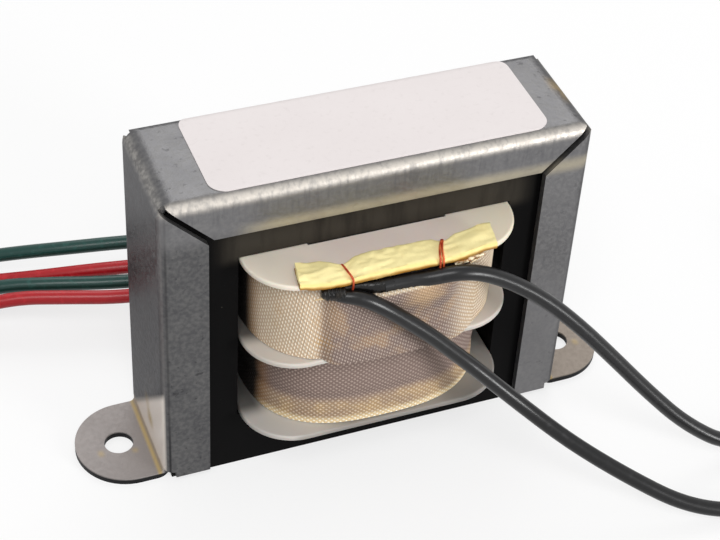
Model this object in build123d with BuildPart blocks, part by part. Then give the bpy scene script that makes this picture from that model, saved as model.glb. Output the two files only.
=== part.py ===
from build123d import *
import os
from math import radians, tan

# Open-frame power transformer: a steel channel bracket clamps a core of E and I laminations,
# and a two-section bobbin with flying leads sits on the middle limb of the core.
# Millimetres, +Z up. The origin is on the mounting plane, midway between the two foot holes.
# The primary leads leave at the front (-Y) and the secondary leads at the back (+Y).

# Core
tongue_width = 22.2
window_width = 11.1
window_height = 33.4
leg_width = 11.1
yoke_height = 11.1
stack_depth = 18.0

# Channel bracket, folded from one strip of sheet steel
sheet = 1.2
core_fit = 0.02
lip_width = 7.5
lip_bend = 0.6
corner_bend = 1.6
foot_bend = 0.8
mitre_gap = 1.2
lip_lift = 1.2
notch_clear = 0.4
foot_span = 93.7
hole_spacing = 79.4
hole_diameter = 4.8

# Bobbin with three flanges
bobbin_fit = 0.2
tube_wall = 1.0
tube_corner = 0.6
flange_thickness = 1.0
flange_depth = 36.0
flange_corner = 8.7
flange_edge = 0.35

# Coils and the cloth tape round them
coil_fit = 0.1
tape_thickness = 0.6
coil_crown = 2.5
coil_side_crown = 0.5
coil_corner = 17.0
corner_taper = 2.0
corner_share = 1.14
upper_side_gap = 1.4
upper_bulge = 0.4
lower_side_gap = 2.6
lower_setback = 0.5
filament_ratio = 2.4
secondary_wrap = 0.4

# Folded strips over the lead splices, and the enamelled wire ends that cross them
strip_length = 31.5
strip_depth = 5.6
strip_thickness = 1.6
strip_overhang = 1.9
strip_edge = 0.45
wire_diameter = 0.4
wire_bend = 0.5
wire_fit = 0.05
front_wire_places = (-8.0, 7.0)
rear_wire_places = (-9.6, -2.6, 4.4, 11.4)

# Paper label
label_length = 54.1
label_shift = 0.8
label_front = 9.0
label_back = 9.9
label_corner = 2.6
label_thickness = 0.12

# Leads
lead_diameter = 2.5
lead_seat = 0.05
lead_drop = 0.3
conductor_diameter = 1.0
stripped_length = 8.0
bend_share = 0.45

core_width = tongue_width + 2 * window_width + 2 * leg_width
core_height = window_height + 2 * yoke_height
# The square corners of the core clear the round insides of the bends
side_gap = lip_bend * (1 - 0.5**0.5) + core_fit
top_gap = corner_bend - max(0, corner_bend**2 - (corner_bend - side_gap) ** 2) ** 0.5 + core_fit
bracket_width = core_width + 2 * (side_gap + sheet)
bracket_depth = stack_depth + 2 * (side_gap + sheet)
bracket_height = core_height + top_gap + sheet
lip_outer = lip_bend + sheet
corner_outer = corner_bend + sheet
web_width = bracket_depth - 2 * lip_outer
mitre_offset = mitre_gap / 2**0.5
notch_top = sheet + foot_bend + notch_clear

bobbin_bottom = yoke_height + bobbin_fit
bobbin_height = window_height - 2 * bobbin_fit
bobbin_top = bobbin_bottom + bobbin_height
tube_hole_width = tongue_width + 2 * bobbin_fit
tube_hole_depth = stack_depth + 2 * bobbin_fit
tube_width = tube_hole_width + 2 * tube_wall
tube_depth = tube_hole_depth + 2 * tube_wall
flange_width = tongue_width + 2 * window_width - 2 * bobbin_fit
section_height = (bobbin_height - 3 * flange_thickness) / 2
flange_levels = [bobbin_bottom + i * (flange_thickness + section_height) for i in range(3)]
coil_height = section_height - 2 * coil_fit
lower_coil_level = flange_levels[0] + flange_thickness + coil_fit
upper_coil_level = flange_levels[1] + flange_thickness + coil_fit
window_edge = tongue_width / 2 + window_width
upper_half_width = window_edge - upper_side_gap
upper_half_depth = flange_depth / 2 + upper_bulge
lower_half_width = window_edge - lower_side_gap
lower_half_depth = flange_depth / 2 - lower_setback
# The two secondary coils share what the tape and the insulation leave of the lower section
coil_room = lower_half_depth - coil_crown - tube_depth / 2 - 4 * coil_fit
wire_room = coil_room - tape_thickness - secondary_wrap
filament_build = wire_room * filament_ratio / (1 + filament_ratio)

os.makedirs("parts", exist_ok=True)


def mitre_zone(shift):
    """Front outline of the top of the bracket between its two 45 degree mitres, moved out by shift."""
    half = bracket_width / 2 + shift
    with BuildSketch() as zone:
        with BuildLine():
            Polyline(
                (-half, bracket_height),
                (half, bracket_height),
                (half - 2 * lip_width, bracket_height - 2 * lip_width),
                (2 * lip_width - half, bracket_height - 2 * lip_width),
                close=True,
            )
        make_face()
    return zone.sketch


def coil_outline(half_width, half_depth, inset=0):
    """Outline of a coil from above, or of a layer inside it: four crowned sides with round corners."""
    side = half_width - inset
    front = half_depth - inset
    corner_x = side - coil_side_crown
    corner_y = front - coil_crown
    corner = min(coil_corner - corner_taper * inset, corner_share * min(corner_x, corner_y))
    with BuildSketch() as outline:
        with BuildLine():
            ThreePointArc((-corner_x, -corner_y), (0, -front), (corner_x, -corner_y))
            ThreePointArc((corner_x, -corner_y), (side, 0), (corner_x, corner_y))
            ThreePointArc((corner_x, corner_y), (0, front), (-corner_x, corner_y))
            ThreePointArc((-corner_x, corner_y), (-side, 0), (-corner_x, -corner_y))
        make_face()
        fillet(outline.vertices(), radius=max(corner, tube_corner))
    return outline.sketch


def save(piece, name):
    """Label a finished piece and write it out."""
    piece.part.label = name
    export_step(piece.part, f"parts/{name}.step")


# Lips of the two legs: front and back, each with its bend, cut off along the mitre.
# The bend stops above the foot, so that the strip can turn outwards there.
leg_mitre = mitre_zone(mitre_offset)
with BuildPart() as leg_lips:
    with BuildSketch(Plane.XY.offset(lip_lift)):
        RectangleRounded(bracket_width, bracket_depth, lip_outer)
        RectangleRounded(bracket_width - 2 * sheet, bracket_depth - 2 * sheet, lip_bend, mode=Mode.SUBTRACT)
        Rectangle(bracket_width - 2 * lip_width, bracket_depth, mode=Mode.SUBTRACT)
        Rectangle(bracket_width, web_width, mode=Mode.SUBTRACT)
    extrude(amount=bracket_height - lip_lift)
    with BuildSketch(Plane.XZ):
        add(leg_mitre)
    extrude(amount=bracket_depth, both=True, mode=Mode.SUBTRACT)
    with BuildSketch():
        Rectangle(bracket_width, bracket_depth)
        Rectangle(bracket_width - 2 * lip_outer, bracket_depth, mode=Mode.SUBTRACT)
    extrude(amount=notch_top, mode=Mode.SUBTRACT)

# Lips of the top, front and back
top_mitre = mitre_zone(-mitre_offset)
with BuildPart() as top_lips:
    with BuildSketch(Plane.YZ):
        with Locations((0, bracket_height - lip_width)):
            RectangleRounded(bracket_depth, 2 * lip_width, lip_outer)
            RectangleRounded(
                bracket_depth - 2 * sheet, 2 * (lip_width - sheet), lip_bend, mode=Mode.SUBTRACT
            )
        with Locations((0, bracket_height - 3 * lip_width / 2)):
            Rectangle(bracket_depth, lip_width, mode=Mode.SUBTRACT)
        with Locations((0, bracket_height - lip_width / 2)):
            Rectangle(web_width, lip_width, mode=Mode.SUBTRACT)
    extrude(amount=bracket_width / 2, both=True)
    with BuildSketch(Plane.XZ):
        add(top_mitre)
    extrude(amount=bracket_depth, both=True, mode=Mode.INTERSECT)

# The lips end on the round corner line of the bracket
with BuildPart() as lips:
    add(leg_lips.part)
    add(top_lips.part)
    with BuildSketch(Plane.XZ):
        RectangleRounded(bracket_width, 2 * bracket_height, corner_outer)
    extrude(amount=bracket_depth, both=True, mode=Mode.INTERSECT)

# Channel bracket: foot, leg, top, leg and foot in one strip with round ends, and the lips
with BuildPart() as channel_bracket:
    with BuildSketch(Plane.XZ):
        with BuildLine():
            FilletPolyline(
                (-foot_span / 2, sheet),
                (-bracket_width / 2, sheet),
                (-bracket_width / 2, bracket_height),
                (bracket_width / 2, bracket_height),
                (bracket_width / 2, sheet),
                (foot_span / 2, sheet),
                radius=[foot_bend, corner_outer, corner_outer, foot_bend],
            )
            offset(amount=sheet, side=Side.RIGHT)
        make_face()
    extrude(amount=web_width / 2, both=True)
    with BuildSketch():
        SlotOverall(foot_span, web_width)
    extrude(amount=bracket_height, mode=Mode.INTERSECT)
    add(lips.part)
    with Locations((-hole_spacing / 2, 0, sheet), (hole_spacing / 2, 0, sheet)):
        Hole(hole_diameter / 2, depth=sheet)
save(channel_bracket, "channel_bracket")

# Stack of E plates, back upwards, with the tongue through the bobbin
with BuildPart() as e_laminations:
    with BuildSketch(Plane.XZ):
        with Locations((0, (yoke_height + core_height) / 2)):
            Rectangle(core_width, core_height - yoke_height)
        window_place = (tongue_width + window_width) / 2
        window_middle = yoke_height + window_height / 2
        with Locations((-window_place, window_middle), (window_place, window_middle)):
            Rectangle(window_width, window_height, mode=Mode.SUBTRACT)
    extrude(amount=stack_depth / 2, both=True)
save(e_laminations, "e_laminations")

# Stack of I plates that closes the core at the bottom
with BuildPart() as i_laminations:
    with BuildSketch(Plane.XZ):
        with Locations((0, yoke_height / 2)):
            Rectangle(core_width, yoke_height)
    extrude(amount=stack_depth / 2, both=True)
save(i_laminations, "i_laminations")

# Bobbin: core tube and three flanges with round corners, one moulding
with BuildPart() as bobbin:
    for level in flange_levels:
        with BuildSketch(Plane.XY.offset(level)):
            RectangleRounded(flange_width, flange_depth, flange_corner)
        extrude(amount=flange_thickness)
    fillet(bobbin.edges().filter_by(Plane.XY), radius=flange_edge)
    with BuildSketch(Plane.XY.offset(bobbin_bottom)):
        RectangleRounded(tube_width, tube_depth, tube_corner)
    extrude(amount=bobbin_height)
    with BuildSketch(Plane.XY.offset(bobbin_bottom)):
        Rectangle(tube_hole_width, tube_hole_depth)
    extrude(amount=bobbin_height, mode=Mode.SUBTRACT)
save(bobbin, "bobbin")

# Primary coil fills the upper section, from the tube to the tape
primary_outline = coil_outline(upper_half_width, upper_half_depth, tape_thickness + coil_fit)
with BuildPart() as primary_winding:
    with BuildSketch(Plane.XY.offset(upper_coil_level)):
        add(primary_outline)
        RectangleRounded(
            tube_width + 2 * coil_fit, tube_depth + 2 * coil_fit, tube_corner, mode=Mode.SUBTRACT
        )
    extrude(amount=coil_height)
save(primary_winding, "primary_winding")

# Plate supply coil, the inner part of the lower section
filament_inset = tape_thickness + coil_fit
wrap_inset = filament_inset + filament_build + coil_fit
plate_inset = wrap_inset + secondary_wrap
plate_outline = coil_outline(lower_half_width, lower_half_depth, plate_inset + coil_fit)
with BuildPart() as plate_winding:
    with BuildSketch(Plane.XY.offset(lower_coil_level)):
        add(plate_outline)
        RectangleRounded(
            tube_width + 2 * coil_fit, tube_depth + 2 * coil_fit, tube_corner, mode=Mode.SUBTRACT
        )
    extrude(amount=coil_height)
save(plate_winding, "plate_winding")

# The rest of the lower section in rings: insulation, filament coil and tape, from inside out.
# The upper section has only its tape outside the coil.
coil_rings = (
    ("secondary_insulation", lower_coil_level, lower_half_width, lower_half_depth, wrap_inset, plate_inset),
    ("filament_winding", lower_coil_level, lower_half_width, lower_half_depth, filament_inset, wrap_inset - coil_fit),
    ("lower_tape", lower_coil_level, lower_half_width, lower_half_depth, 0, tape_thickness),
    ("upper_tape", upper_coil_level, upper_half_width, upper_half_depth, 0, tape_thickness),
)
for name, level, half_width, half_depth, outer_inset, inner_inset in coil_rings:
    outer_outline = coil_outline(half_width, half_depth, outer_inset)
    inner_outline = coil_outline(half_width, half_depth, inner_inset)
    with BuildPart() as ring:
        with BuildSketch(Plane.XY.offset(level)):
            add(outer_outline)
            add(inner_outline, mode=Mode.SUBTRACT)
        extrude(amount=coil_height)
    save(ring, name)

# Folded strip on the front ledge of the top flange, a little over its edge
strip_outer = flange_depth / 2 + strip_overhang
strip_middle = strip_outer - strip_depth / 2
strip_inner = strip_outer - strip_depth
with BuildPart() as front_strip:
    with BuildSketch(Plane.XY.offset(bobbin_top)):
        with Locations((0, -strip_middle)):
            Rectangle(strip_length, strip_depth)
    extrude(amount=strip_thickness)
    fillet(front_strip.edges(), radius=strip_edge)
save(front_strip, "front_strip")

# Folded strip at the back, which holds the secondary leads against the bottom flange
rear_strip_top = bobbin_bottom - lead_diameter - 2 * lead_seat
with BuildPart() as rear_strip:
    with BuildSketch(Plane.XY.offset(rear_strip_top - strip_thickness)):
        with Locations((0, strip_middle)):
            Rectangle(strip_length, strip_depth)
    extrude(amount=strip_thickness)
    fillet(rear_strip.edges(), radius=strip_edge)
save(rear_strip, "rear_strip")

# Enamelled wire ends: out of the flange and round the strip, as far as the lead
wire_reach = wire_diameter / 2 + wire_fit
wire_inner = strip_inner - wire_reach
wire_outer = strip_outer + wire_reach
front_wire_top = bobbin_top + strip_thickness + wire_reach
with BuildPart() as front_wire_ends:
    for place in front_wire_places:
        with BuildLine(Plane.YZ.offset(place)) as wire_path:
            FilletPolyline(
                (-wire_inner, bobbin_top),
                (-wire_inner, front_wire_top),
                (-wire_outer, front_wire_top),
                (-wire_outer, bobbin_top + strip_thickness / 2),
                radius=wire_bend,
            )
        with BuildSketch(Plane(origin=wire_path.line @ 0, z_dir=wire_path.line % 0)):
            Circle(wire_diameter / 2)
        sweep()
save(front_wire_ends, "front_wire_ends")

rear_wire_bottom = rear_strip_top - strip_thickness - wire_reach
with BuildPart() as rear_wire_ends:
    for place in rear_wire_places:
        with BuildLine(Plane.YZ.offset(place)) as wire_path:
            FilletPolyline(
                (wire_inner, bobbin_bottom),
                (wire_inner, rear_wire_bottom),
                (wire_outer, rear_wire_bottom),
                (wire_outer, bobbin_bottom - wire_fit),
                radius=wire_bend,
            )
        with BuildSketch(Plane(origin=wire_path.line @ 0, z_dir=wire_path.line % 0)):
            Circle(wire_diameter / 2)
        sweep()
save(rear_wire_ends, "rear_wire_ends")

# Paper label on the top, bent down a little at the front and further at the back
with BuildPart() as label:
    with BuildSketch(Plane.YZ.offset(label_shift)):
        with Locations((0, bracket_height - lip_width)):
            RectangleRounded(
                bracket_depth + 2 * label_thickness,
                2 * (lip_width + label_thickness),
                lip_outer + label_thickness,
            )
            RectangleRounded(bracket_depth, 2 * lip_width, lip_outer, mode=Mode.SUBTRACT)
        with Locations((0, bracket_height - 2 * lip_width)):
            Rectangle(2 * bracket_depth, 2 * lip_width, mode=Mode.SUBTRACT)
    extrude(amount=label_length / 2, both=True)
    with BuildSketch():
        with Locations((label_shift, (label_back - label_front) / 2)):
            RectangleRounded(label_length, label_front + label_back, label_corner)
    extrude(amount=bracket_height + label_thickness, mode=Mode.INTERSECT)
save(label, "label")

# Front leads from the splice to the stripped end: place along the object, distance out from the seat
# on the strip, and height as a share of the exit's height over the floor
front_routes = {
    "black_lead_a": [
        (-14.0, -1.45, 0.976), (-12.0, -1.42, 0.976), (-9.9, -1.05, 0.976), (-7.0, -0.2, 0.967),
        (-3.7, 0.5, 0.916), (0.0, 0.95, 0.838), (4.0, 1.6, 0.752), (7.6, 2.25, 0.663),
        (11.4, 3.0, 0.569), (19.0, 6.3, 0.389), (26.0, 11.6, 0.258), (34.0, 17.7, 0.152),
        (42.3, 22.2, 0.044), (51.0, 24.9, 0.0), (61.0, 25.4, 0.001), (71.0, 23.0, 0.0),
        (80.0, 17.4, 0.0), (87.0, 9.8, 0.0), (91.5, 0.8, 0.0), (93.0, -9.2, 0.0),
    ],
    "black_lead_b": [
        (-3.2, -1.45, 0.976), (0.6, -1.42, 0.976), (4.4, -0.85, 0.976), (8.2, 0.2, 0.998),
        (12.2, 0.4, 0.974), (16.8, 0.6, 0.911), (22.8, 1.6, 0.806), (28.8, 3.4, 0.667),
        (34.8, 5.2, 0.504), (41.2, 7.3, 0.326), (48.0, 9.8, 0.157), (56.0, 12.2, 0.03),
        (65.5, 11.8, 0.0), (74.5, 8.0, 0.001), (81.2, 0.8, 0.0), (85.3, -8.2, 0.0),
        (87.0, -18.0, 0.0), (88.0, -27.8, 0.0), (90.2, -37.2, 0.0),
    ],
}

# Back leads, with the distance out from the face of the strip that holds them
rear_routes = {
    "red_lead_b": [
        (-5.5, -7.9, 1.0), (-9.5, -2.4, 0.998), (-15.0, 1.9, 0.989), (-22.5, 5.1, 0.862),
        (-31.0, 7.8, 0.667), (-40.0, 10.5, 0.678), (-49.0, 13.5, 0.655), (-58.0, 15.3, 0.402),
        (-66.0, 12.5, 0.103), (-71.2, 5.3, 0.0), (-73.4, -3.7, 0.006), (-74.0, -13.1, 0.0),
        (-73.4, -22.5, 0.0), (-72.0, -31.7, 0.0), (-70.0, -40.9, 0.0),
    ],
    "green_lead_b": [
        (1.5, -7.9, 1.0), (-2.5, -2.4, 0.998), (-8.0, 2.1, 0.993), (-15.5, 6.1, 0.92),
        (-24.0, 9.3, 0.793), (-33.0, 11.8, 0.724), (-42.0, 14.4, 0.724), (-51.0, 17.6, 0.632),
        (-60.5, 19.7, 0.333), (-69.2, 17.3, 0.057), (-75.2, 10.3, 0.0), (-78.0, 1.3, 0.006),
        (-79.0, -8.1, 0.0), (-78.8, -17.6, 0.0), (-77.4, -26.9, 0.0),
    ],
    "red_lead_a": [
        (8.5, -7.9, 1.0), (4.5, -2.4, 0.998), (-1.0, 2.6, 0.995), (-8.5, 7.3, 0.954),
        (-17.0, 10.9, 0.885), (-26.0, 13.7, 0.793), (-35.0, 16.3, 0.678), (-44.0, 19.7, 0.448),
        (-53.0, 23.5, 0.218), (-62.5, 25.1, 0.034), (-71.2, 22.5, 0.0), (-77.8, 16.1, 0.0),
        (-81.6, 7.5, 0.006), (-83.2, -1.9, 0.0), (-83.6, -11.4, 0.0), (-83.0, -20.9, 0.0),
    ],
    "green_lead_a": [
        (15.5, -7.9, 1.0), (11.5, -2.4, 0.998), (6.5, 3.1, 0.998), (-0.5, 8.6, 1.069),
        (-9.0, 12.9, 1.103), (-18.5, 16.4, 1.046), (-28.0, 19.1, 0.966), (-37.5, 21.7, 0.851),
        (-46.5, 25.1, 0.655), (-55.5, 28.5, 0.402), (-65.0, 30.3, 0.126), (-74.0, 28.3, 0.006),
        (-81.0, 22.3, 0.0), (-85.4, 13.9, 0.0), (-87.6, 4.7, 0.006), (-88.4, -4.7, 0.0),
        (-88.2, -14.1, 0.0),
    ],
}

lead_floor = lead_diameter / 2 + lead_seat
front_seat = strip_outer + lead_diameter / 2 + lead_seat
front_rise = bobbin_top - lead_drop - lead_floor
rear_rise = bobbin_bottom - lead_diameter / 2 - lead_seat - lead_floor
lead_routes = {}
for name, route in front_routes.items():
    lead_routes[name] = [(x, -front_seat - out, lead_floor + share * front_rise) for x, out, share in route]
for name, route in rear_routes.items():
    lead_routes[name] = [(x, strip_outer + out, lead_floor + share * rear_rise) for x, out, share in route]


def bend_radii(points):
    """Largest arc at each corner that leaves the two runs beside it room for their other arcs."""
    radii = []
    for before, corner, after in zip(points, points[1:], points[2:]):
        first = corner - before
        second = after - corner
        turn = first.get_angle(second)
        radii.append(bend_share * min(first.length, second.length) / tan(radians(turn / 2)))
    return radii


# Insulated leads, and the stripped and tinned end of each
for name, route in lead_routes.items():
    points = [Vector(*point) for point in route]
    radii = bend_radii(points)
    print(name, "radii", [round(radius, 1) for radius in radii])
    with BuildPart() as lead:
        with BuildLine() as lead_path:
            FilletPolyline(*points, radius=radii)
        with BuildSketch(Plane(origin=lead_path.line @ 0, z_dir=lead_path.line % 0)):
            Circle(lead_diameter / 2)
        sweep()
    save(lead, name)
    with BuildPart() as lead_end:
        with BuildSketch(Plane(origin=lead_path.line @ 1, z_dir=lead_path.line % 1)):
            Circle(conductor_diameter / 2)
        extrude(amount=stripped_length)
    save(lead_end, f"{name}_end")
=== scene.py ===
from math import cos, exp, pi, radians, sin

import bpy
from mathutils import Matrix, Vector, noise


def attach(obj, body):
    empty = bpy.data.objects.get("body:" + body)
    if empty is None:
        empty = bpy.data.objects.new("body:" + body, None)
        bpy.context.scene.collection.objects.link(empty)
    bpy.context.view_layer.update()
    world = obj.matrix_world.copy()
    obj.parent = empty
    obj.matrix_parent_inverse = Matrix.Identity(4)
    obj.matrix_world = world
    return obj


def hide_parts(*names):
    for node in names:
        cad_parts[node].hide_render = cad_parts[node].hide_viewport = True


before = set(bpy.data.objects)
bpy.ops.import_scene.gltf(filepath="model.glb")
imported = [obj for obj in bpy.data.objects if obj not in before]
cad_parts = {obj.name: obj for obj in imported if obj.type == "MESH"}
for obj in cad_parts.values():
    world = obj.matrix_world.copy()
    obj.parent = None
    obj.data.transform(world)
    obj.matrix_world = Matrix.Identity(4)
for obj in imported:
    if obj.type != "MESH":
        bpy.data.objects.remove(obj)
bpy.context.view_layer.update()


# The studio: a pale table under soft light, seen from the front left and above.
# One soft box hangs behind the transformer, one stands over the camera, and a
# low lamp at the right draws the gloss along the leads.
camera_place = (-0.087662, -0.206484, 0.226559)
camera_heading = radians(-23.349)
camera_pitch = radians(90 - 41.430)
camera_roll = radians(3.756)
camera = bpy.data.objects.new("camera", bpy.data.cameras.new("camera"))
camera.data.sensor_width = 36.0
camera.data.lens = 92.70
camera.data.clip_start = 0.01
camera.matrix_world = (
    Matrix.Translation(camera_place)
    @ Matrix.Rotation(camera_heading, 4, "Z")
    @ Matrix.Rotation(camera_pitch, 4, "X")
    @ Matrix.Rotation(camera_roll, 4, "Z")
)
bpy.context.scene.collection.objects.link(camera)
bpy.context.scene.camera = camera
bpy.context.scene.view_settings.view_transform = "Standard"


class Signal:
    """An output among one material's nodes. Sums of signals add Math nodes beside it."""

    def __init__(self, tree, socket=None):
        self.tree = tree
        self.socket = socket

    def fill(self, node, sockets):
        """Set each socket of a node to a number or colour, or link a signal to it."""
        for name, value in sockets.items():
            if isinstance(value, Signal):
                self.tree.links.new(value.socket, node.inputs[name])
            else:
                node.inputs[name].default_value = value

    def node(self, kind, settings=None, sockets=None, out=0):
        """Add a node, make its settings, fill its sockets, and return one of its outputs."""
        made = self.tree.nodes.new("ShaderNode" + kind)
        for name, value in (settings or {}).items():
            setattr(made, name, value)
        self.fill(made, sockets or {})
        return Signal(self.tree, made.outputs[out])

    def maths(self, operation, *values):
        return self.node("Math", {"operation": operation}, dict(enumerate(values)))

    def __add__(self, other):
        return self.maths("ADD", self, other)

    def __sub__(self, other):
        return self.maths("SUBTRACT", self, other)

    def __rsub__(self, other):
        return self.maths("SUBTRACT", other, self)

    def __mul__(self, other):
        return self.maths("MULTIPLY", self, other)

    def __abs__(self):
        return self.maths("ABSOLUTE", self)

    __radd__ = __add__
    __rmul__ = __mul__


def seen_rays(start):
    """1 for what the camera sees, straight on or in metal and varnish, 0 for light that only falls."""
    camera_ray, glossy_ray, through_ray = (
        start.node("LightPath", out=name)
        for name in ("Is Camera Ray", "Is Glossy Ray", "Is Transmission Ray")
    )
    return start.maths("MAXIMUM", start.maths("MAXIMUM", camera_ray, glossy_ray), through_ray)


world = bpy.data.worlds.new("studio")
world.use_nodes = True
bpy.context.scene.world = world
room_light = 0.46
room = Signal(world.node_tree)
room.fill(
    world.node_tree.nodes["Background"],
    {"Color": (1.0, 1.0, 1.0, 1.0), "Strength": room_light + seen_rays(room) * (1 - room_light)},
)

bpy.ops.object.select_all(action="DESELECT")
bpy.ops.mesh.primitive_plane_add(size=6.0, location=(0, 0, 0))
table = bpy.context.object
table.name = "table"
table_paint = bpy.data.materials.new("table_paint")
table_paint.use_nodes = True
table.data.materials.append(table_paint)
table_grey = (0.4, 0.4, 0.4, 1.0)
table_pale = (0.95, 0.95, 0.95, 1.0)
table_glow = 0.72
top = Signal(table_paint.node_tree)
table_seen = seen_rays(top)
lit_colour = top.node("Mix", {"data_type": "RGBA"}, {0: table_seen, 6: table_grey, 7: table_pale}, out=2)
lit = top.node("BsdfDiffuse", None, {"Color": lit_colour})
white = top.node("Emission", None, {"Color": (1.0, 1.0, 1.0, 1.0), "Strength": 1.0})
table_white = top.node("MixShader", None, {0: table_seen * table_glow, 1: lit, 2: white})
top.fill(table_paint.node_tree.nodes["Material Output"], {"Surface": table_white})


lamp_aim = Vector((0, 0, 0.03))


def soft_box(name, place, size, power):
    """A flat lamp of a width and a height that faces the middle of the transformer."""
    lamp = bpy.data.lights.new(name, "AREA")
    lamp.shape = "RECTANGLE"
    lamp.size, lamp.size_y = size
    lamp.energy = power
    stand = bpy.data.objects.new(name, lamp)
    stand.location = place
    stand.rotation_euler = (lamp_aim - Vector(place)).to_track_quat("-Z", "Y").to_euler()
    bpy.context.scene.collection.objects.link(stand)


soft_box("rear_soft_box", (0.22, 0.50, 0.58), (0.55, 0.42), 1.9)
soft_box("front_soft_box", (-0.22, -0.50, 0.78), (0.45, 0.35), 3.3)
soft_box("low_lamp", (0.50, -0.73, 0.18), (0.20, 0.32), 4.6)


# The core: E and I laminations of thin silicon steel, stacked along the depth,
# driven into the bobbin from two sides and dipped with the coil in black varnish.
def finish(name):
    """A new material: its surface shader, and the piece's own coordinates as a signal."""
    material = bpy.data.materials.new(name)
    material.use_nodes = True
    surface = material.node_tree.nodes["Principled BSDF"]
    return material, surface, Signal(material.node_tree).node("TexCoord", out="Object")


def shade(red, green, blue):
    """A colour as it shows on a screen, 0 to 255, turned into the linear values of a shader."""
    def linear(value):
        value /= 255
        return value / 12.92 if value <= 0.04045 else ((value + 0.055) / 1.055) ** 2.4

    return (linear(red), linear(green), linear(blue), 1.0)


def axes(place):
    """The three coordinates of a place, in metres."""
    return [place.node("SeparateXYZ", None, {0: place}, out=axis) for axis in "XYZ"]


def grain(place, size, detail=2.0, drawn=(1, 1, 1)):
    """A cloudy pattern from 0 to 1 with spots about size metres wide, drawn out along the axes."""
    scale = [1 / (size * length) for length in drawn]
    spread = place.node("Mapping", None, {"Vector": place, "Scale": scale})
    return place.node("TexNoise", None, {"Vector": spread, "Scale": 1.0, "Detail": detail})


def ramp(value, start, end):
    """0 where a value is at start, 1 where it is at end, and smooth between."""
    return value.node(
        "MapRange",
        {"interpolation_type": "SMOOTHSTEP"},
        {"Value": value, "From Min": start, "From Max": end},
    )


def blend(share, shaded_underside, over):
    """One colour laid over another as far as a share from 0 to 1 says."""
    return share.node("Mix", {"data_type": "RGBA"}, {0: share, 6: shaded_underside, 7: over}, out=2)


def dress(node, material):
    """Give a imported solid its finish."""
    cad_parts[node].material_slots[0].material = material


sheet_pitch = 0.0005
black_varnish, surface, place = finish("black_core_varnish")
x, y, z = axes(place)
sheets = place.maths("SINE", y * (2 * pi / sheet_pitch)) * 0.5 + 0.5
dust = ramp(grain(place, 0.0006, 3), 0.68, 0.78) * ramp(grain(place, 0.008), 0.45, 0.65)
runs = grain(place, 0.002, 3, (1, 1, 6))
# Painted reflection: the varnished yoke above the top flange is lightened as though it mirrored the pale
# flange.
yoke_reflection = ramp(z, 0.0425, 0.0450) * ramp(abs(x), 0.0270, 0.0215)
colour = blend(sheets * 0.5, shade(8, 8, 9), shade(18, 17, 16))
colour = blend(yoke_reflection, colour, shade(58, 54, 48))
colour = blend(ramp(runs, 0.45, 0.75) * 0.4, colour, shade(16, 15, 15))
colour = blend(dust * 0.7, colour, shade(96, 92, 86))
relief = place.node(
    "Bump", None, {"Height": sheets * 0.6 + runs * 0.4, "Strength": 0.35, "Distance": 0.0001}
)
place.fill(
    surface,
    {"Base Color": colour, "Roughness": 0.34 + runs * 0.22 + dust * 0.3, "Normal": relief,
     "Specular IOR Level": 0.03},
)
dress("e_laminations", black_varnish)
dress("i_laminations", black_varnish)


# The bracket: one strip of plated steel sheet folded over the core, with lips
# turned in at the front and the back, mitred at the top, and two feet with holes.
# Its marks are placed in metres, as on the solid.
def near(value, middle, reach):
    """1 where a value is at the middle, falling to 0 within a reach on both sides."""
    return ramp(abs(value - middle), reach, 0.0)


bracket_plating, surface, place = finish("satin_plated_steel")
x, y, z = axes(place)
mottle = grain(place, 0.004, 5)
speckle = ramp(grain(place, 0.0007, 4), 0.35, 0.70)
pits = ramp(grain(place, 0.0011, 3), 0.64, 0.72)
rubs = ramp(grain(place, 0.0006, 4, (1, 1, 7)), 0.42, 0.72)
front = ramp(y, -0.0086, -0.0100)
outside = ramp(abs(x), 0.0342, 0.0346)
colour = blend(mottle * 0.6 + speckle * 0.4, shade(72, 72, 75), shade(114, 113, 112))
colour = blend(pits * 0.5, colour, shade(46, 46, 48))
# The press left dark drag marks below the top front bend. The bright crest along that bend and the light
# tops of the side bends are painted highlights.
bend_highlight = front * near(z, 0.0568, 0.0016)
side_bend_highlight = near(abs(x), 0.0341, 0.0010) * ramp(z, 0.0545, 0.0560)
colour = blend(bend_highlight * (0.85 - rubs * 0.35), colour, shade(222, 213, 200))
colour = blend(side_bend_highlight * (0.2 + speckle * 0.3), colour, shade(196, 192, 186))
drag = front * near(z, 0.0542, 0.0030) * rubs
colour = blend(drag * 0.65, colour, shade(50, 50, 56))
fold_line = near(abs(x), 0.0338, 0.0003) * (0.5 + ramp(z, 0.0150, 0.0080) * 0.5)
colour = blend(fold_line * front * 0.8, colour, shade(30, 30, 32))
colour = blend(near(abs(x), 0.0344, 0.0003) * front * 0.3, colour, shade(150, 148, 146))
# Painted light: the upper front lip, the right lip, the upper part of the outer webs and the top face are
# lightened where light falls on them.
painted_light = place.maths("MAXIMUM", ramp(z, 0.0480, 0.0520), ramp(x, 0.0240, 0.0270)) * front
painted_light = place.maths("MAXIMUM", painted_light, ramp(z, 0.0300, 0.0520) * outside)
painted_light = place.maths("MAXIMUM", painted_light, ramp(z, 0.0568, 0.0575) * 0.4)
colour = blend(painted_light * 0.35, colour, shade(150, 149, 150))
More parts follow.
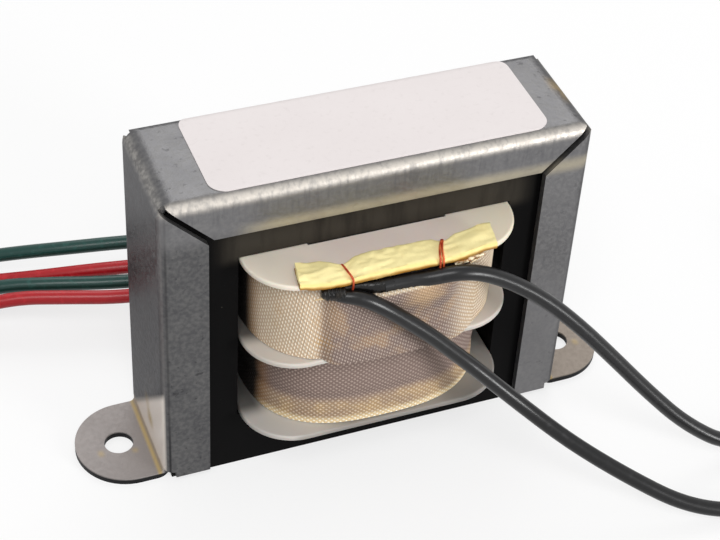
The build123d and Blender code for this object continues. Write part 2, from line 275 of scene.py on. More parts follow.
# Varnish from the dip: a pale film along the top lip, yellow runs where the feet turn out
film = front * near(z, 0.0507, 0.0020) * ramp(x, -0.0240, -0.0180) * (0.5 + mottle * 0.6)
colour = blend(film * 0.6, colour, shade(200, 188, 158))
feet = ramp(z, 0.0034, 0.0018) * outside
# Painted light: the feet are made lighter than the rest of the sheet, as a painted reflection of the
# light they catch.
colour = blend(feet * 0.85, colour, shade(158, 151, 148))
colour = blend(feet * ramp(x, 0.0, 0.0100) * 0.5, colour, shade(136, 121, 100))
# Painted reflection: the lower front part of the left web beside the foot is made near white, as though
# it mirrored the lit foot.
foot_reflection = ramp(z + y, 0.0108, 0.0086) * ramp(z, 0.0014, 0.0030) * outside * ramp(x, 0.0, -0.0100)
colour = blend(foot_reflection * 0.95, colour, shade(255, 246, 236))
patches = ramp(grain(place, 0.004, 2, (1, 2, 1)), 0.40, 0.52)
seam = near(abs(x), 0.0351, 0.0006) * feet * (0.75 + patches * 0.25)
drop = outside * near(y, -0.0017, 0.0026) * near(z, 0.0070, 0.0026)
trail = outside * near(y, -0.0004, 0.0022) * near(z, 0.0096, 0.0026)
outer_spot = near(abs(x), 0.0431, 0.0009) * near(y, -0.0016, 0.0012)
inner_spot = near(abs(x), 0.0376, 0.0009) * near(y, -0.0025, 0.0010)
spots = drop * 0.75 + trail * 0.35 + (outer_spot + inner_spot) * feet * 0.4
colour = blend(place.maths("MAXIMUM", seam * 0.75, spots), colour, shade(190, 164, 102))
smear = near(x, 0.0335, 0.0022) * near(y, 0.0, 0.0050) * ramp(z, 0.0540, 0.0560)
colour = blend(smear * patches * 0.5, colour, shade(188, 160, 104))
# Painted shade: the cut edges of the sheet, below 1.1 mm, are made nearly black.
shaded_cut_edge = ramp(z, 0.0011, 0.0008)
colour = blend(shaded_cut_edge, colour, shade(14, 14, 15))
height = mottle * 0.3 + speckle * 0.35 - pits * 0.4 - drag * 0.2
relief = place.node("Bump", None, {"Height": height, "Strength": 0.35, "Distance": 0.0001})
dulled = place.maths("MAXIMUM", feet * 0.55, foot_reflection * 0.7)
place.fill(
    surface,
    {"Base Color": colour, "Metallic": 0.78 - dulled - film * 0.4 - bend_highlight * 0.2,
     "Roughness": 0.32 + speckle * 0.14 + bend_highlight * 0.1 + feet * 0.15, "Normal": relief,
     "Specular Tint": (0.35, 0.35, 0.36, 1.0)},
)
dress("channel_bracket", bracket_plating)


# The rear corners: at each end of the back bend the press drew the folds of the
# sheet together into a closed round corner, a thin shell of the same plated steel.
corner_middle = (0.0319, 0.0086, 0.05485)
corner_bend = 0.00172
corner_flat = 0.0010
corner_sheet = 0.0010
for side, name in ((-1, "left_rear_corner"), (1, "right_rear_corner")):
    middle = Vector(corner_middle)
    middle.x *= side
    bpy.ops.object.select_all(action="DESELECT")
    bpy.ops.mesh.primitive_uv_sphere_add(segments=48, ring_count=32, radius=1.0, location=(0, 0, 0))
    corner = bpy.context.object
    corner.name = name
    bpy.ops.object.mode_set(mode="EDIT")
    for outward in ((side, 0, 0), (0, 1, 0), (0, 0, 1)):
        bpy.ops.mesh.select_all(action="SELECT")
        bpy.ops.mesh.bisect(plane_co=(0, 0, 0), plane_no=outward, clear_inner=True)
    bpy.ops.mesh.select_all(action="SELECT")
    bpy.ops.mesh.remove_doubles(threshold=0.000001)
    bpy.ops.object.mode_set(mode="OBJECT")
    for vertex in corner.data.vertices:
        fold = Vector((vertex.co.x, 0, vertex.co.z)).normalized()
        vertex.co = middle + vertex.co * corner_bend + fold * corner_flat
    wall = corner.modifiers.new("sheet", "SOLIDIFY")
    wall.thickness = corner_sheet
    wall.offset = -1
    bpy.ops.object.modifier_apply(modifier=wall.name)
    bpy.ops.object.shade_smooth_by_angle(angle=radians(50))
    corner.data.materials.append(bracket_plating)
    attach(corner, "root")


# The bobbin: one moulding of translucent off-white nylon, a square tube with three
# flanges. It slides over the middle limb of the core and parts the coil into two
# sections. Shade is painted on it where it goes into the core and low down.
bobbin_nylon, surface, place = finish("translucent_nylon")
x, y, z = axes(place)
cloud = grain(place, 0.010, 3)
colour = blend(ramp(x, -0.022, -0.004), shade(252, 240, 222), shade(246, 228, 218))
colour = blend(ramp(x, 0.006, 0.020), colour, shade(240, 229, 206))
# Painted shade: the middle and bottom flanges are greyer, darkest low down.
colour = blend(ramp(z, 0.0420, 0.0300), colour, shade(206, 199, 190))
colour = blend(ramp(z, 0.0200, 0.0140), colour, shade(192, 188, 182))
colour = blend(cloud * 0.2, colour, shade(210, 202, 194))
# Painted shade on the flanges' front and side rims, deeper on the bottom flange.
shaded_rims = place.maths("MAXIMUM", ramp(abs(y), 0.0176, 0.0180), ramp(abs(x), 0.0216, 0.0220))
colour = blend(shaded_rims * ramp(z, 0.0130, 0.0200) * 0.4, colour, shade(206, 200, 192))
colour = blend(shaded_rims * ramp(z, 0.0200, 0.0130) * 0.6, colour, shade(132, 128, 122))
shadow = ramp(x, -0.0130, -0.0050) * ramp(z, 0.0200, 0.0130)
colour = blend(shadow * 0.8, colour, shade(130, 126, 121))
# Painted shade where the bobbin goes into the core.
bobbin_core_shade = ramp(abs(y), 0.0120, 0.0085) * ramp(x, -0.0170, -0.0195) * ramp(z, 0.0420, 0.0380)
colour = blend(bobbin_core_shade * 0.85, colour, shade(38, 36, 34))
place.fill(
    surface,
    {"Base Color": colour, "Roughness": 0.36 + cloud * 0.12, "Subsurface Weight": 0.12,
     "Subsurface Scale": 0.002, "Specular IOR Level": 0.4},
)
dress("bobbin", bobbin_nylon)


# The windings: enamelled copper wire wound in layers between the flanges, the
# two secondaries parted by a wrap of varnished paper.
wire_pitch = 0.00045


def wire_layers(name, gap, crown):
    """Turns of enamelled wire side by side, dark in the gaps between them."""
    material, surface, place = finish(name)
    _, _, z = axes(place)
    turns = place.maths("SINE", z * (2 * pi / wire_pitch)) * 0.5 + 0.5
    relief = place.node("Bump", None, {"Height": turns, "Strength": 0.8, "Distance": 0.0002})
    place.fill(
        surface,
        {"Base Color": blend(turns, gap, crown), "Metallic": 0.4, "Roughness": 0.3 + turns * 0.1,
         "Normal": relief},
    )
    return material


copper = wire_layers("enamelled_copper", shade(52, 24, 12), shade(176, 92, 44))
dress("plate_winding", copper)
dress("filament_winding", copper)
# The primary winding is coloured nearly black, unlike the two secondaries.
dress("primary_winding", wire_layers("dark_copper", shade(10, 8, 7), shade(38, 25, 17)))
varnished_paper, surface, place = finish("varnished_paper")
fibres = grain(place, 0.0012, 3, (4, 4, 1))
colour = blend(fibres, shade(196, 164, 112), shade(226, 200, 150))
place.fill(surface, {"Base Color": colour, "Roughness": 0.45 + fibres * 0.2})
dress("secondary_insulation", varnished_paper)


# The tapes: cotton woven and cut on the bias, wound once round each coil and
# lapped at the back. The upper one is slack in front, where two leads cross it.
# Their shapes are in millimetres, and the finished meshes in metres.
tape_rows = 34
tape_columns = 300
tape_thickness = 0.35
lap_start = 84
lap_sweep = 372
lap_share = 0.955
lap_lift = 0.45
upper_cloth_top = 43.15
upper_cloth_bottom = 28.45
lower_cloth_bottom = 12.45
lower_cloth_height = 14.7


def rise(value, start, end):
    """0 up to start, 1 from end on and a smooth step between, for the points of a mesh."""
    share = min(max((value - start) / (end - start), 0.0), 1.0)
    return share * share * (3 - 2 * share)


def hump(value, middle, width):
    """1 at the middle, falling off to nothing a few widths away."""
    return exp(-(((value - middle) / width) ** 2))


def wound_tape(name, half_width, half_depth, squareness, hang, threads):
    """Wind a strip round a coil. hang lifts a point and sets its level, threads counts the weave."""
    bpy.ops.object.select_all(action="DESELECT")
    bpy.ops.mesh.primitive_grid_add(x_subdivisions=tape_columns, y_subdivisions=tape_rows, size=1.0)
    tape = bpy.context.object
    tape.name = name
    walk = []
    for column in range(tape_columns + 1):
        angle = radians(lap_start + lap_sweep * column / tape_columns)
        across, along = abs(cos(angle)) / half_width, abs(sin(angle)) / half_depth
        reach = (across**squareness + along**squareness) ** (-1 / squareness)
        walk.append(Vector((reach * cos(angle), reach * sin(angle))))
    steps = [(after - before).length for before, after in zip(walk, walk[1:])]
    counts = {}
    for vertex in tape.data.vertices:
        column = round((vertex.co.x + 0.5) * tape_columns)
        share = vertex.co.y + 0.5
        spot = walk[column]
        way = walk[min(column + 1, tape_columns)] - walk[max(column - 1, 0)]
        out = Vector((way.y, -way.x)).normalized()
        lift, level = hang(spot.x, spot.y, share)
        lift += lap_lift * rise(column, lap_share * tape_columns, tape_columns)
        spot = spot + out * lift
        vertex.co = Vector((spot.x, spot.y, level)) / 1000
        counts[vertex.index] = threads(sum(steps[:column]) - sum(steps) / 2, level)
    weave = tape.data.uv_layers[0]
    weave.name = "weave"
    for loop in tape.data.loops:
        weave.data[loop.index].uv = counts[loop.vertex_index]
    body = tape.modifiers.new("cloth", "SOLIDIFY")
    body.thickness = tape_thickness / 1000
    body.offset = -1
    bpy.ops.object.modifier_apply(modifier=body.name)
    bpy.ops.object.shade_smooth_by_angle(angle=radians(60))
    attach(tape, "root")
    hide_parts(name.replace("cloth", "tape"))
    return tape, sum(steps) / 1000


def cotton(name, tint):
    """Bias-woven cotton soaked in varnish: raised threads show as rows of pale dots."""
    material, surface, place = finish(name)
    across, along, _ = axes(place.node("UVMap", {"uv_map": "weave"}))
    wave_across = place.maths("COSINE", across * (2 * pi)) * 0.5 + 0.5
    wave_along = place.maths("COSINE", along * (2 * pi)) * 0.5 + 0.5
    knots = wave_across * wave_along
    slubs = grain(place, 0.0011, 3)
    hollow, thread = tint(place)
    colour = blend(ramp(knots * (0.55 + slubs * 0.9), 0.08, 0.70), hollow, thread)
    relief = place.node(
        "Bump", None, {"Height": knots + slubs * 0.3, "Strength": 0.7, "Distance": 0.00016}
    )
    place.fill(
        surface,
        {"Base Color": colour, "Roughness": 0.72 - knots * 0.22, "Normal": relief,
         "Specular IOR Level": 0.3},
    )
    return material


def upper_hang(x, y, share):
    """Lift and level of the upper cloth: slack in front, folded at the left, open over the right lead."""
    front = rise(-y, 8, 14)
    slack = front * rise(x, -12.4, -9.4) * (1 - rise(x, 10.0, 15.0))
    fold = front * hump(x, -11.6 + 0.5 * share, 0.8)
    tuck = front * rise(x, -13.0, -10.4) * (1 - rise(x, 12.0, 16.5))
    fray = (0.06 * sin(9.1 * x) + 0.05 * sin(23.7 * x)) * tuck
    top = upper_cloth_top - 1.45 * tuck + fray
    bottom = upper_cloth_bottom - 0.5 * slack
    drape = slack * (0.2 + 0.5 * (1 - rise(share, 0.0, 0.45)))
    pocket = rise(x, -7.0, -3.5) * (1 - rise(x, 7.0, 10.5)) * front
    top += 0.95 * pocket
    crown = front * 0.22 * hump(x, -14.2, 1.6) * sin(pi * share)
    lift = 0.06 * sin(pi * share) + drape + crown - 0.26 * fold * (1 - 0.4 * share)
    lift += 1.85 * pocket * rise(share, 0.45, 0.95)
    return lift, bottom + (top - bottom) * share


def upper_threads(along, level):
    """Counts of the two sets of threads, which lean more over the front than at the left."""
    lean = -1.2 * min(along, -11.5) - 1.0 * (min(max(along, -11.5), 14.0) + 11.5)
    return 2.12 * along - 0.36 * level, lean - (1.0 + 0.4 * rise(along, -13.5, -9.5)) * (level - 36)


def cloth_core_shade(place, colour):
    """Painted shade in the cloth where the coil goes into the core, amber at its edge."""
    x, y, _ = axes(place)
    left = ramp(x, -0.005, -0.010)
    colour = blend(ramp(abs(y), 0.0115, 0.0088) * left * 0.6, colour, shade(150, 108, 66))
    return blend(ramp(abs(y), 0.0098, 0.0070), colour, shade(20, 16, 13))


def upper_tint(place):
    """Colours of the hollows and the threads of the upper cloth, with its stains, fold and edges."""
    x, y, z = axes(place)
    slack = ramp(x, -0.0135, -0.0100) * ramp(x, 0.0140, 0.0070) * ramp(y, -0.0110, -0.0150)
    stain = ramp(grain(place, 0.005, 3), 0.48, 0.68)
    # The slack front is tinted mauve and darkened further as painted shade from the flange, strip and
    # leads above it.
    hollow = blend(slack, shade(216, 190, 160), shade(128, 110, 102))
    thread = blend(slack, shade(255, 245, 226), shade(184, 166, 156))
    hollow = blend(ramp(x, 0.0090, 0.0150) * 0.7, hollow, shade(182, 156, 128))
    hollow = blend(stain * 0.40, hollow, shade(196, 158, 114))
    thread = blend(stain * 0.25, thread, shade(236, 208, 166))
    resin = near(x, 0.0034, 0.0050) * ramp(z, 0.0365, 0.0395) * ramp(y, -0.0110, -0.0150)
    hollow = blend(resin * 0.8, hollow, shade(200, 166, 128))
    thread = blend(resin * 0.8, thread, shade(216, 184, 146))
    amber = near(x, -0.0116, 0.0018) * near(z, 0.0322, 0.0024) * ramp(y, -0.0110, -0.0150)
    hollow = blend(amber * 0.6, hollow, shade(206, 160, 86))
    selvage = ramp(x, 0.0160, 0.0176) * ramp(y, -0.0080, -0.0110)
    fray = ramp(z, 0.0418, 0.0425) * near(x, 0.0, 0.0120)
    pale = place.maths("MAXIMUM", selvage * 0.7, fray * 0.9)
    hollow = blend(pale, hollow, shade(222, 202, 172))
    thread = blend(pale, thread, shade(250, 240, 220))
    # Painted shade along the fold at the left.
    fold = near(x, -0.0114, 0.0011) * ramp(y, -0.0120, -0.0160)
    hollow = blend(fold * 0.5, hollow, shade(116, 96, 88))
    thread = blend(fold * 0.35, thread, shade(150, 130, 120))
    return cloth_core_shade(place, hollow), cloth_core_shade(place, thread)


upper_cloth, around = wound_tape(
    "upper_cloth", half_width=20.75, half_depth=19.25, squareness=2.9,
    hang=upper_hang, threads=upper_threads,
)
upper_cloth.data.materials.append(cotton("upper_cotton", upper_tint))


def lower_hang(x, y, share):
    """Lift and level of the lower cloth: flared at the bottom, with one crease round it."""
    flare = 0.05 * (1 - rise(share, 0.0, 0.30))
    crease = 0.30 * hump(share, 0.36, 0.07)
    lift = flare - crease - 0.2 * rise(share, 0.6, 1.0)
    return lift, lower_cloth_bottom + lower_cloth_height * share


def lower_threads(along, level):
    """Counts of the two sets of threads, crossing evenly."""
    return 1.05 * along - 1.2 * level, -1.06 * along - 1.2 * level


def lower_tint(place):
    """Colours of the hollows and the threads of the lower cloth, pale along its bottom edge."""
    _, _, z = axes(place)
    stain = ramp(grain(place, 0.004, 3), 0.45, 0.70)
    band = ramp(z, 0.0182, 0.0160) * (0.5 + stain * 0.5)
    edge = ramp(z, 0.0142, 0.0128)
    hollow = blend(band, shade(130, 111, 103), shade(180, 150, 112))
    thread = blend(band, shade(170, 151, 141), shade(222, 200, 168))
    hollow = blend(edge, hollow, shade(230, 204, 158))
    thread = blend(edge, thread, shade(255, 247, 226))
    return cloth_core_shade(place, hollow), cloth_core_shade(place, thread)


lower_cloth, around = wound_tape(
    "lower_cloth", half_width=19.55, half_depth=17.45, squareness=2.75,
    hang=lower_hang, threads=lower_threads,
)
lower_cloth.data.materials.append(cotton("lower_cotton", lower_tint))


# The splice strips: yellow crepe paper folded in three and tied down over the
# soldered lead ends, one on the top flange and one under the bottom flange.
strip_columns = 110
strip_rows = 48
strip_floor = 44.42
strip_left = -15.75
strip_length = 31.4
strip_front = -19.86
strip_back = -14.95
strip_height = 1.45
paper_thickness = 0.00024
left_tie, right_tie = -8.2, 6.4


def strip_shape(x):
    """Front edge, back edge, lift and thickness of the strip at a place along it."""
    ties = hump(x, left_tie - 0.3, 1.5) + hump(x, right_tie + 1.2, 1.3)
    lift = 0.75 * rise(-x, 9.2, 15.5) + 0.75 * rise(x, 8.4, 15.5)
    front = strip_front + 0.35 * rise(-x, 10, 15.5) + 0.25 * rise(x, 9, 13)
    back = strip_back - 1.3 * hump(x, left_tie - 0.2, 1.9) - 0.7 * hump(x, right_tie + 2.0, 1.2)
    back += 0.6 * rise(-x, 10, 13) + 0.45 * rise(x, 12, 15.5)
    lift -= 0.55 * hump(x, -13.2, 2.2)
    thick = strip_height - 0.30 * min(ties, 1.0) - 0.25 * rise(abs(x), 11, 15.5)
    return front, back, lift, thick


def strip_profile(share):
    """Place across the folded strip: depth from front to back, and height, both from 0 to 1."""
    if share < 0.30:
        return 0.97 - 0.89 * share / 0.30, 0.10
    if share < 0.42:
        turn = (share - 0.30) / 0.12
        return 0.08 - 0.08 * sin(pi * turn) ** 0.4, 0.10 + 0.80 * turn
    if share < 0.72:
        return 0.08 + 0.87 * (share - 0.42) / 0.30, 0.90
    if share < 0.79:
        turn = (share - 0.72) / 0.07
        return 0.95 + 0.05 * sin(pi * turn), 0.90 - 0.40 * turn
    return 0.95 - 0.70 * (share - 0.79) / 0.21, 0.50


def crumple(x, y, layer):
    """Creases of worked paper: broad dents with sharp ridges among them."""
    broad = noise.noise(Vector((0.33 * x, 0.55 * y, 3.1)))
    ridge = 0.5 - abs(noise.noise(Vector((0.30 * x + 0.42 * y, 0.85 * y - 0.1 * x, 8.7))))
    fine = noise.noise(Vector((1.5 * x, 1.9 * y, 5.3 + layer)))
    crease = hump(y, -17.5 + 0.2 * (x + 14.5), 0.22) * rise(-x, 8.4, 9.4)
    edge = 1.5 * rise(x, -3.2, -0.6) + 0.3 * sin(1.1 * x) - 18.6
    overlap = rise(y - edge, -0.12, 0.12) * rise(-x, -3.8, 3.4)
    return 0.16 * broad + 0.34 * ridge - 0.10 + 0.06 * fine + 0.16 * crease + 0.14 * overlap


bpy.ops.object.select_all(action="DESELECT")
bpy.ops.mesh.primitive_grid_add(x_subdivisions=strip_columns, y_subdivisions=strip_rows, size=1.0)
front_paper = bpy.context.object
front_paper.name = "front_paper_strip"
folds = front_paper.data.uv_layers[0]
folds.name = "folds"
for vertex in front_paper.data.vertices:
    along, share = vertex.co.x + 0.5, vertex.co.y + 0.5
    depth, height = strip_profile(share)
    x = strip_left + strip_length * along + 0.9 * (depth - 0.5)
    x += 0.16 * noise.noise(Vector((7 * share, 40 * along, 1.0))) * rise(abs(along - 0.5), 0.46, 0.5)
    front, back, lift, thick = strip_shape(x)
    y = front + (back - front) * depth + 0.10 * noise.noise(Vector((0.8 * x, 4.0, 9 * share)))
    z = strip_floor + lift + thick * height + crumple(x, y, share) * (0.25 + 0.75 * height)
    vertex.co = Vector((x, y, z)) / 1000
leaf = front_paper.modifiers.new("leaf", "SOLIDIFY")
leaf.thickness = paper_thickness
leaf.offset = 0
bpy.ops.object.modifier_apply(modifier=leaf.name)
bpy.ops.object.shade_smooth_by_angle(angle=radians(42))

yellow_paper, surface, place = finish("yellow_crepe_paper")
_, across, _ = axes(place.node("UVMap", {"uv_map": "folds"}))
top_face = ramp(across, 0.40, 0.44)
shaded_underside = ramp(across, 0.33, 0.26)
crepe = grain(place, 0.0007, 4, (1, 3, 1))
soak = ramp(grain(place, 0.0035, 3), 0.46, 0.70)
# Painted shade: the front face darkens to golden brown towards its lower edge, and the underside is
# darker still.
shaded_front_face = blend(ramp(across, 0.40, 0.345), shade(250, 224, 142), shade(170, 118, 36))
colour = blend(top_face, shaded_front_face, shade(255, 240, 174))
colour = blend(soak * 0.3, colour, shade(255, 234, 158))
colour = blend(shaded_underside, colour, shade(150, 104, 36))
colour = blend(ramp(crepe, 0.55, 0.80) * 0.14, colour, shade(222, 182, 104))
relief = place.node("Bump", None, {"Height": crepe, "Strength": 0.5, "Distance": 0.00012})
place.fill(
    surface, {"Base Color": colour, "Roughness": 0.42 + crepe * 0.2 - soak * 0.12, "Normal": relief}
)
front_paper.data.materials.append(yellow_paper)
turn_height = 0.053
under_turn = Matrix.Translation((0, 0, turn_height)) @ Matrix.Rotation(pi, 4, "X")
rear_mesh = front_paper.data.copy()
rear_mesh.transform(under_turn)
rear_paper = bpy.data.objects.new("rear_paper_strip", rear_mesh)
bpy.context.scene.collection.objects.link(rear_paper)
for paper, node in ((front_paper, "front_strip"), (rear_paper, "rear_strip")):
    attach(paper, "root")
    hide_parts(node)


# The ties: ends of the coils' own enamelled wire, brought up beside the flange,
# drawn once over each strip and down to the splice under it.
wire_radius = 0.00017
front_wire_places = ((-8.6, -8.1, -0.9), (7.9, 5.7, -1.2), (8.05, 6.25, -0.9))
rear_wire_places = (-9.6, -2.6, 4.4, 11.4)


def tie_points(back_x, front_x, foot):
    """A wire's way from behind the strip over its top and down its front face."""
    points = []
    for share, depth, height in (
        (0.0, 1.09, -0.25), (0.0, 1.07, 0.55), (0.06, 0.98, 1.12), (0.3, 0.74, 1.22), (0.55, 0.5, 1.16),
        (0.8, 0.22, 1.2), (0.96, 0.0, 1.14), (1.0, -0.075, 0.85), (1.0, -0.08, 0.2), (0.95, -0.06, -0.5),
        (0.9, -0.02, foot),
    ):
        x = back_x + (front_x - back_x) * share
        front, back, lift, thick = strip_shape(x)
        points.append((x, front + (back - front) * depth, strip_floor + lift + thick * height))
    return points


def bent_rod(name, ways, radius, steps, sides):
    """Round rods in one object, each on a smooth curve along its points, in metres."""
    curve = bpy.data.curves.new(name, "CURVE")
    curve.dimensions = "3D"
    curve.resolution_u = steps
    curve.bevel_depth = radius
    curve.bevel_resolution = sides
    curve.use_fill_caps = True
    for way in ways:
        spline = curve.splines.new("NURBS")
        spline.points.add(len(way) - 1)
        for control, point in zip(spline.points, way):
            control.co = (*point, 1.0)
        spline.order_u = 3
        spline.use_endpoint_u = True
    rod = bpy.data.objects.new(name, curve)
    bpy.context.scene.collection.objects.link(rod)
    return rod


def wire_tie(name, ways, turn):
    """One object of bent wires, turned to their place."""
    places = [[turn @ (Vector(point) / 1000) for point in way] for way in ways]
    tie = bent_rod(name, places, wire_radius, steps=8, sides=3)
    bpy.ops.object.select_all(action="DESELECT")
    tie.select_set(True)
    bpy.context.view_layer.objects.active = tie
    bpy.ops.object.convert(target="MESH")
    bpy.ops.object.shade_smooth_by_angle(angle=radians(50))
    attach(tie, "root")
    return tie


red_enamel, surface, place = finish("red_enamel")
flow = grain(place, 0.0010, 3)
colour = blend(ramp(flow, 0.35, 0.70), shade(176, 52, 26), shade(240, 122, 70))
place.fill(surface, {"Base Color": colour, "Metallic": 0.35, "Roughness": 0.24 + flow * 0.14})
front_ways = [tie_points(*place) for place in front_wire_places]
front_tie = wire_tie("front_wire_ties", front_ways, Matrix.Identity(4))
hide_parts("front_wire_ends")
rear_ways = [tie_points(x + 0.3, x, -1.6) for x in rear_wire_places]
rear_tie = wire_tie("rear_wire_ties", rear_ways, under_turn)
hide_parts("rear_wire_ends")
for tie in (front_tie, rear_tie):
    tie.data.materials.append(red_enamel)


# The splices: where the leads are soldered on, hidden in black varnish behind the
# strip's edge. The plastic of the left lead is crushed into ribs beside it.
rib_count = 13


def lump(name, points, radii, varnish):
    """A run of varnish along a line of points, thick and thin by its radii, all in millimetres."""
    run = bent_rod(name, [[Vector(point) / 1000 for point in points]], 0.001, steps=6, sides=5)
    for control, radius in zip(run.data.splines[0].points, radii):
        control.radius = radius
    run.data.materials.append(varnish)
    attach(run, "root")


splice_varnish, surface, place = finish("splice_varnish")
drips = grain(place, 0.0012, 3)
colour = blend(ramp(drips, 0.45, 0.75), shade(12, 11, 11), shade(34, 28, 22))
relief = place.node("Bump", None, {"Height": drips, "Strength": 0.4, "Distance": 0.0003})
place.fill(
    surface,
    {"Base Color": colour, "Roughness": 0.18 + drips * 0.2, "Normal": relief, "Specular IOR Level": 0.3},
)
lump(
    "front_splices",
    [
        (-9.4, -18.9, 43.35), (-7.6, -18.95, 43.3), (-5.8, -19.2, 43.15), (-4.2, -19.6, 43.0),
        (-1.6, -19.75, 42.98),
    ],
    [0.75, 0.85, 1.05, 1.22, 1.27],
    splice_varnish,
)
lump(
    "left_lead_ribs",
    [(-12.9 + 0.3 * rib, -19.5 - 0.04 * rib, 43.75 - 0.035 * rib) for rib in range(rib_count)],
    [(1.28 if rib % 2 else 0.88) * min(1, 0.55 + 0.15 * rib) for rib in range(rib_count)],
    splice_varnish,
)
amber_varnish, surface, place = finish("amber_varnish")
drips = grain(place, 0.0006, 3)
colour = blend(ramp(drips, 0.40, 0.62), shade(150, 98, 34), shade(250, 236, 200))
place.fill(surface, {"Base Color": colour, "Roughness": 0.12 + drips * 0.1})
amber_runs = {
    "left_varnish_bead": (
        [(-9.4, -20.3, 42.2), (-7.7, -20.4, 41.2), (-5.6, -20.5, 40.7)],
        (0.3, 0.4, 0.25),
    ),
    "right_varnish_bead": (
        [(8.4, -19.6, 43.9), (10.2, -19.5, 44.2), (13.4, -19.3, 44.5)],
        (0.3, 0.55, 0.25),
    ),
    "right_strand": (
        [(8.6, -20.0, 44.5), (9.4, -20.1, 45.0), (10.4, -20.0, 44.3)],
        (0.12, 0.12, 0.12),
    ),
    "right_strand_end": (
        [(10.8, -20.0, 43.9), (11.6, -20.1, 44.4), (12.5, -19.9, 44.6)],
        (0.12, 0.14, 0.1),
    ),
}
for name, (points, radii) in amber_runs.items():
    lump(name, points, radii, amber_varnish)


# The label: bare white paper with round corners, stuck on the top of the bracket
# and turned down a little over the back bend.
label_paper, surface, place = finish("white_label_paper")
fibre = grain(place, 0.0009, 4)
cloud = grain(place, 0.012, 2)
colour = blend(cloud, shade(226, 219, 218), shade(220, 212, 211))
colour = blend(ramp(fibre, 0.55, 0.80) * 0.4, colour, shade(208, 200, 198))
relief = place.node("Bump", None, {"Height": fibre + cloud, "Strength": 0.15, "Distance": 0.0001})
place.fill(surface, {"Base Color": colour, "Roughness": 0.46 + fibre * 0.12, "Normal": relief})
dress("label", label_paper)


# The leads: six lengths of stranded hook-up wire in glossy plastic, soldered to
# the coil ends under the strips. Two black ones leave in front, the rest behind.
lead_diameter = 0.0025
stripped_length = 0.008


def insulation(name, deep, light):
    """Glossy extruded plastic, a little scuffed."""
    material, surface, place = finish(name)
    scuffs = ramp(grain(place, 0.0011, 4), 0.52, 0.72)
    cloud = grain(place, 0.006, 2)
    x, _, z = axes(place)
    bared = ramp(x, -0.0122, -0.0128) * ramp(z, 0.0415, 0.0425)
    colour = blend(bared, blend(scuffs * 0.6 + cloud * 0.2, deep, light), shade(206, 180, 140))
    place.fill(
        surface,
        {"Base Color": colour, "Roughness": 0.30 + scuffs * 0.10, "Specular IOR Level": 0.38},
    )
    return material


insulations = {
    "black": insulation("black_insulation", shade(10, 10, 11), shade(24, 24, 26)),
    "red": insulation("red_insulation", shade(176, 18, 28), shade(206, 44, 52)),
    "green": insulation("green_insulation", shade(10, 58, 52), shade(28, 84, 76)),
}

tinned, surface, place = finish("tinned_copper")
tarnish = grain(place, 0.0012, 3)
place.fill(
    surface,
    {"Base Color": blend(tarnish, shade(190, 186, 176), shade(214, 212, 208)), "Metallic": 0.9,
     "Roughness": 0.28 + tarnish * 0.2},
)

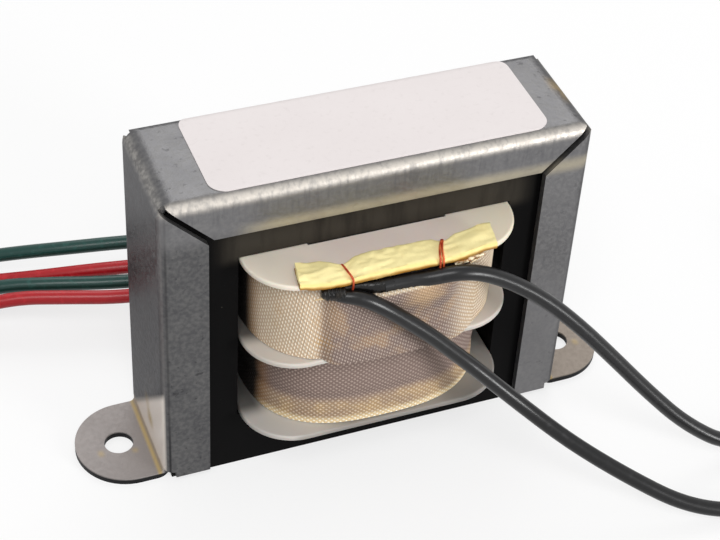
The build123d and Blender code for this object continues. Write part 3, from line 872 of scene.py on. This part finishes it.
# Each route runs from the splice to the end of the plastic, in millimetres.
lead_routes = {
    "black_lead_a": [
        (-14, -19.75, 42.98), (-12, -19.78, 42.98), (-9.9, -20.15, 42.98), (-7, -21, 42.59),
        (-3.7, -21.7, 40.41), (0, -22.15, 37.08), (4, -22.8, 33.41), (7.6, -23.45, 29.61),
        (11.4, -24.2, 25.6), (19, -27.5, 17.91), (26, -32.8, 12.32), (34, -38.9, 7.79),
        (42.3, -43.4, 3.18), (51, -46.1, 1.3), (61, -46.6, 1.34), (71, -44.2, 1.3), (80, -38.6, 1.3),
        (87, -31, 1.3), (91.5, -22, 1.3), (93, -12, 1.3),
    ],
    "black_lead_b": [
        (-3.2, -19.75, 42.98), (0.6, -19.78, 42.98), (4.4, -20.35, 42.98), (8.2, -21.4, 43.91),
        (12.2, -21.6, 42.89), (16.8, -21.8, 40.2), (22.8, -22.8, 35.72), (28.8, -24.6, 29.78),
        (34.8, -26.4, 22.82), (41.2, -28.5, 15.22), (48, -31, 8), (56, -33.4, 2.58), (65.5, -33, 1.3),
        (74.5, -29.2, 1.34), (81.2, -22, 1.3), (85.3, -13, 1.3), (87, -3.2, 1.3), (88, 6.6, 1.3),
        (90.2, 16, 1.3),
    ],
    "red_lead_a": [
        (8.5, 12, 10), (4.5, 17.5, 9.98), (-1, 22.5, 9.96), (-8.5, 27.2, 9.6), (-17, 30.8, 9),
        (-26, 33.6, 8.2), (-35, 36.2, 7.2), (-44, 39.6, 5.2), (-53, 43.4, 3.2), (-62.5, 45, 1.6),
        (-71.2, 42.4, 1.3), (-77.8, 36, 1.3), (-81.6, 27.4, 1.35), (-83.2, 18, 1.3), (-83.6, 8.5, 1.3),
        (-83, -1, 1.3),
    ],
    "red_lead_b": [
        (-5.5, 12, 10), (-9.5, 17.5, 9.98), (-15, 21.8, 9.9), (-22.5, 25, 8.8), (-31, 27.7, 7.1),
        (-40, 30.4, 7.2), (-49, 33.4, 7), (-58, 35.2, 4.8), (-66, 32.4, 2.2), (-71.2, 25.2, 1.3),
        (-73.4, 16.2, 1.35), (-74, 6.8, 1.3), (-73.4, -2.6, 1.3), (-72, -11.8, 1.3), (-70, -21, 1.3),
    ],
    "green_lead_a": [
        (15.5, 12, 10), (11.5, 17.5, 9.98), (6.5, 23, 9.98), (-0.5, 28.5, 10.6), (-9, 32.8, 10.9),
        (-18.5, 36.3, 10.4), (-28, 39, 9.7), (-37.5, 41.6, 8.7), (-46.5, 45, 7), (-55.5, 48.4, 4.8),
        (-65, 50.2, 2.4), (-74, 48.2, 1.35), (-81, 42.2, 1.3), (-85.4, 33.8, 1.3), (-87.6, 24.6, 1.35),
        (-88.4, 15.2, 1.3), (-88.2, 5.8, 1.3),
    ],
    "green_lead_b": [
        (1.5, 12, 10), (-2.5, 17.5, 9.98), (-8, 22, 9.94), (-15.5, 26, 9.3), (-24, 29.2, 8.2),
        (-33, 31.7, 7.6), (-42, 34.3, 7.6), (-51, 37.5, 6.8), (-60.5, 39.6, 4.2), (-69.2, 37.2, 1.8),
        (-75.2, 30.2, 1.3), (-78, 21.2, 1.35), (-79, 11.8, 1.3), (-78.8, 2.3, 1.3), (-77.4, -7, 1.3),
    ],
}

# The start of the left black lead is crushed thin under the strip.
crushed = {"black_lead_a": (0.06, 0.2, 0.8)}

# A stripped end: seven tinned strands, six of them laid round the middle one.
strand_radius = 0.00017
strand_ring = 0.00033
strand_seat = 0.0003
strand_slices = 24
strand_lay = radians(400)
bpy.ops.object.select_all(action="DESELECT")
strands = []
for strand in range(7):
    turn = strand * pi / 3
    ring = strand_ring if strand else 0.0
    bpy.ops.mesh.primitive_cylinder_add(
        vertices=10, radius=strand_radius, depth=stripped_length, end_fill_type="TRIFAN",
        location=(ring * cos(turn), ring * sin(turn), stripped_length / 2 - strand_seat),
    )
    strands.append(bpy.context.object)
for strand in strands:
    strand.select_set(True)
bpy.ops.object.join()
bundle = bpy.context.object
bpy.ops.object.transform_apply(location=True, rotation=True, scale=True)
bpy.ops.object.mode_set(mode="EDIT")
for level in range(1, strand_slices):
    height = stripped_length * level / strand_slices - strand_seat
    bpy.ops.mesh.select_all(action="SELECT")
    bpy.ops.mesh.bisect(plane_co=(0, 0, height), plane_no=(0, 0, 1))
bpy.ops.object.mode_set(mode="OBJECT")
twist = bundle.modifiers.new("lay", "SIMPLE_DEFORM")
twist.deform_method = "TWIST"
twist.deform_axis = "Z"
twist.angle = strand_lay
bpy.ops.object.modifier_apply(modifier=twist.name)
bpy.ops.object.shade_smooth_by_angle(angle=radians(50))
bundle_mesh = bundle.data
bpy.data.objects.remove(bundle)

for node, route in lead_routes.items():
    colour = node.split("_")[0]
    name = node.replace("lead", "wire")
    points = [Vector(point) / 1000 for point in route]
    wire = bent_rod(name, [points], lead_diameter / 2, steps=10, sides=7)
    for control, share in zip(wire.data.splines[0].points, crushed.get(node, ())):
        control.radius = share
    wire.data.materials.append(insulations[colour])
    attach(wire, "root")
    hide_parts(node)
    colour + "_insulation"

    end_mesh = bundle_mesh.copy()
    end_mesh.name = name + "_strands"
    out = (points[-1] - points[-2]).normalized()
    turn = out.to_track_quat("Z", "Y").to_matrix().to_4x4()
    end_mesh.transform(Matrix.Translation(points[-1]) @ turn)
    end_mesh.materials.append(tinned)
    end = bpy.data.objects.new(name + "_strands", end_mesh)
    bpy.context.scene.collection.objects.link(end)
    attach(end, "root")
    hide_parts(node + "_end")
